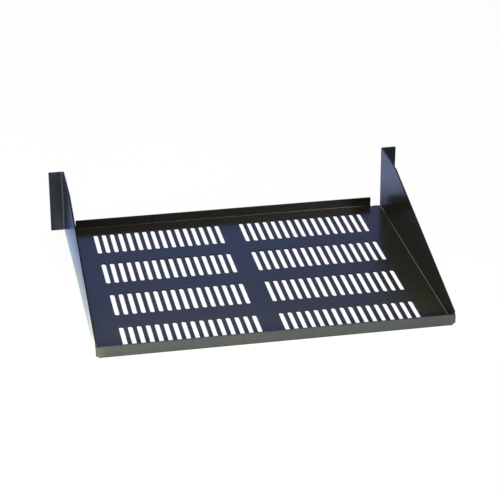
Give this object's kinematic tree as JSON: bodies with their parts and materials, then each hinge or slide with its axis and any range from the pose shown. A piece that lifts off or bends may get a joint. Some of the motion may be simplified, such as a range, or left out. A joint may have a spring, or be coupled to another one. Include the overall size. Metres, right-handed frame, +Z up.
{
  "type": "rack shelf",
  "caption": "Vented cantilever shelf for a 19 inch rack, folded from one steel sheet, with turned-up lips, tapered side walls and plain front ears.",
  "frame": {"origin": "middle of the footprint, on the underside of the floor", "axes": "+X across the rack, +Y from the free edge towards the ears, +Z up"},
  "size_m": [0.4826, 0.362, 0.0886],
  "materials": {
    "black_paint": "semi-gloss black powder coat on folded steel sheet"
  },
  "bodies": {
    "root": {"shelf": "black_paint"}
  },
  "joints": []
}
